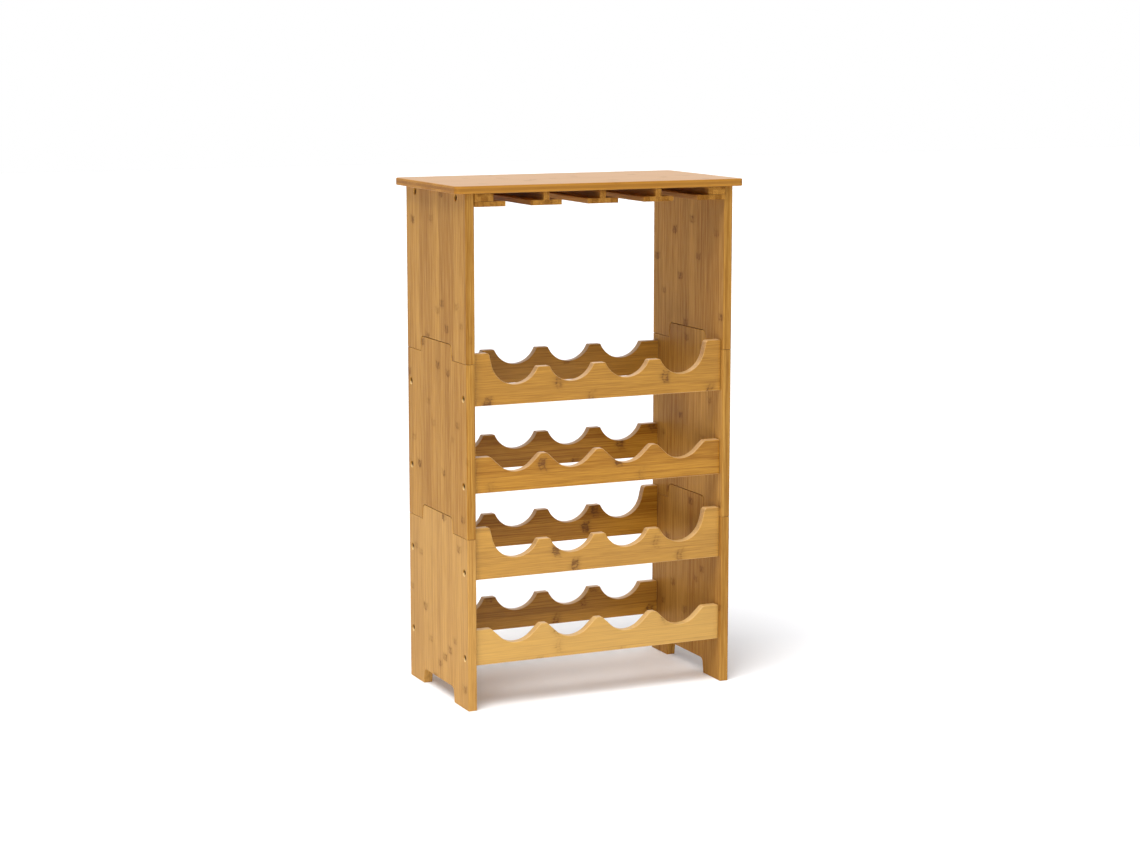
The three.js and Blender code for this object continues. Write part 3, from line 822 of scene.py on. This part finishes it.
def makeRail(node, styleName):
    style = railStyles[styleName]
    low, high = box(node)
    rail = addBlock(node + "_bamboo", low, high)
    landZ = low.z + railShape["landHeight"]
    hasLugs = style["lugRounding"] > 0
    innerWidth = box("bottom_side_panel_right")[0].x - box("bottom_side_panel_left")[1].x
    pitch = (innerWidth - 2 * railShape["endMargin"]) / railShape["bottles"]
    flank = math.radians(style["flank"])
    lugFlank = math.radians(railShape["lugFlank"]) if hasLugs else flank
    mouth = (pitch - style["land"]) / 2
    radius = (mouth * math.tan(flank) - railShape["cradleDepth"]) / (1 / math.cos(flank) - 1)
    centreZ = landZ - railShape["cradleDepth"] + radius
    centres = [(i - (railShape["bottles"] - 1) / 2) * pitch for i in range(railShape["bottles"])]
    if hasLugs:
        # clear the wood above the lands, between the two outermost bottles
        cutAway(rail, addBlock("clearing", Vector((centres[0], low.y - cutReach, landZ)),
                               Vector((centres[-1], high.y + cutReach, high.z + cutReach))))
    for i, x in enumerate(centres):
        leftFlank = lugFlank if i == 0 else flank
        rightFlank = lugFlank if i == len(centres) - 1 else flank
        cutAway(rail, cradleCutter(x, low, high, centreZ, radius, leftFlank, rightFlank, high.z + 0.002))

    inside = high.x - railShape["endRegion"]

    def isCrossEdge(a, b, z):
        return close(a.z, z) and close(b.z, z) and close(a.x, b.x)

    def isLandCorner(a, b):
        return isCrossEdge(a, b, landZ) and abs(a.x) < inside

    def isLugCorner(a, b):
        return isCrossEdge(a, b, high.z) and abs(a.x) < inside

    def isEndCorner(a, b):
        return isCrossEdge(a, b, high.z) and close(abs(a.x), high.x)

    roundEdges(rail, isLandCorner, style["landRounding"] * math.tan(flank / 2), railShape["landSteps"])
    if hasLugs:
        roundEdges(rail, isLugCorner, style["lugRounding"] * math.tan(lugFlank / 2), railShape["lugSteps"])
    roundEdges(rail, isEndCorner, railShape["endRounding"], railShape["endSteps"])
    easeEdges(rail, railShape["ease"])
    for side in ("left", "right"):
        boreScrew(rail, side, f"{node}_screw_{side}")
        boreDowel(rail, f"{node}_dowel_{side}")
    smoothOver(rail)
    fitPiece(rail, node, "railBamboo")
    return rail


railPlan = [
    # rails in one list are alike, their holes too
    ("crested", ["bottom_lower_front_rail", "middle_lower_front_rail"]),
    ("plain", ["bottom_lower_back_rail", "middle_lower_back_rail"]),
    ("plain", ["middle_upper_back_rail"]),
    ("rugged", ["bottom_upper_front_rail", "middle_upper_front_rail"]),
    ("lugged", ["bottom_upper_back_rail"]),
]
for styleName, nodes in railPlan:
    first = makeRail(nodes[0], styleName)
    for node in nodes[1:]:
        another = copyTo(first, node + "_bamboo", box(node)[0] - box(nodes[0])[0])
        fitPiece(another, node, "railBamboo")
print("bottle rails are cut")


# top board and stemware hanger

boardShape = {"cornerRadius": 0.009, "cornerSteps": 10, "topRounding": 0.0019, "topSteps": 4, "ease": 0.0009}
hangerShape = {"webHalf": 0.005, "flangeThickness": 0.008, "ease": 0.0007}


def makeBoard():
    low, high = box("top_board")
    board = addBlock("top_board_bamboo", low, high)
    roundEdges(board, lambda a, b: close(a.x, b.x) and close(a.y, b.y),
               boardShape["cornerRadius"], boardShape["cornerSteps"])
    roundEdges(board, lambda a, b: close(a.z, high.z) and close(b.z, high.z),
               boardShape["topRounding"], boardShape["topSteps"])
    easeEdges(board, boardShape["ease"])
    smoothOver(board)
    fitPiece(board, "top_board", "boardBamboo")


def makeStemRail(node):
    low, high = box(node)
    flangeTop = low.z + hangerShape["flangeThickness"]
    middle = (low.x + high.x) / 2
    rail = addBlock(node + "_bamboo", low, Vector((high.x, high.y, flangeTop)))
    for edge in (-1, 1):
        scoreLine(rail, (middle + edge * hangerShape["webHalf"], 0, 0), (1, 0, 0))
    pickFaces(rail, lambda centre, normal: normal.z > 0.9 and abs(centre.x - middle) < hangerShape["webHalf"])
    bpy.ops.mesh.extrude_region_move(TRANSFORM_OT_translate={"value": (0, 0, high.z - flangeTop)})
    bpy.ops.object.mode_set(mode="OBJECT")
    easeEdges(rail, hangerShape["ease"])
    smoothOver(rail)
    fitPiece(rail, node, "hangerBamboo")
    return rail


def makeHangerSide(node, side, screws):
    low, high = box(node)
    block = addBlock(node + "_bamboo", low, high)
    easeEdges(block, hangerShape["ease"])
    for screw in screws:
        boreScrew(block, side, screw)
    smoothOver(block)
    fitPiece(block, node, "hangerBamboo")


makeBoard()
firstStem = makeStemRail("stem_rail_left")
for place in ("centre", "right"):
    node = "stem_rail_" + place
    shift = box(node)[0] - box("stem_rail_left")[0]
    fitPiece(copyTo(firstStem, node + "_bamboo", shift), node, "hangerBamboo")
for side in ("left", "right"):
    makeHangerSide("stem_block_" + side, side,
                   [f"stem_block_{row}_screw_{side}" for row in ("front", "back")])
    makeHangerSide("stem_ledge_" + side, side, [])
print("board and hanger are fitted")


# screws

screwShape = {
    "headHeight": 0.003, "headRounding": 0.0007, "socketRadius": 0.00245, "socketDepth": 0.0019,
    "shankRadius": 0.002, "tipLength": 0.004, "tipRadius": 0.0003, "sides": 32, "headSteps": 4,
    "socketSides": 6,
}


def makeScrew(node, side):
    low, high = box(node)
    middle = (low + high) / 2
    way = 1 if side == "left" else -1
    outer = low.x if side == "left" else high.x
    radius = (high.z - low.z) / 2
    turn = (0, math.radians(90), 0)
    head = (outer + way * screwShape["headHeight"] / 2, middle.y, middle.z)
    screw = addRod(node + "_steel", head, radius, screwShape["headHeight"], screwShape["sides"], turn)
    # the shank and its tip, drawn out of the head's underside
    pickFaces(screw, lambda centre, normal: normal.x * way > 0.9)
    bpy.ops.mesh.inset(thickness=radius - screwShape["shankRadius"])
    shank = high.x - low.x - screwShape["headHeight"] - screwShape["tipLength"]
    bpy.ops.mesh.extrude_region_move(TRANSFORM_OT_translate={"value": (way * shank, 0, 0)})
    bpy.ops.mesh.extrude_region_move(TRANSFORM_OT_translate={"value": (way * screwShape["tipLength"], 0, 0)})
    point = screwShape["tipRadius"] / screwShape["shankRadius"]
    bpy.ops.transform.resize(value=(1, point, point))
    bpy.ops.object.mode_set(mode="OBJECT")
    roundEdges(screw, lambda a, b: close(a.x, outer) and close(b.x, outer), screwShape["headRounding"],
               screwShape["headSteps"])
    cutAway(screw, addRod("socket", (outer, middle.y, middle.z), screwShape["socketRadius"],
                          2 * screwShape["socketDepth"], screwShape["socketSides"], turn))
    smoothOver(screw)
    fitPiece(screw, node, "darkSteel")
    return screw


def screwNodes(side):
    return [node for node in sorted(nodeSlots) if "screw" in node and node.endswith(side)]


for side in ("left", "right"):
    nodes = screwNodes(side)
    firstScrew = makeScrew(nodes[0], side)
    for node in nodes[1:]:
        shift = box(node)[0] - box(nodes[0])[0]
        fitPiece(copyTo(firstScrew, node + "_steel", shift), node, "darkSteel")
for node, slotName in nodeSlots.items():
    if slotName == "dowel_wood":
        dowel = frame["nodes"][node]
        dowel.data.materials.clear()
        dowel.data.materials.append(finishes["dowelBeech"])
print("screws are in, dowels are in the joints")
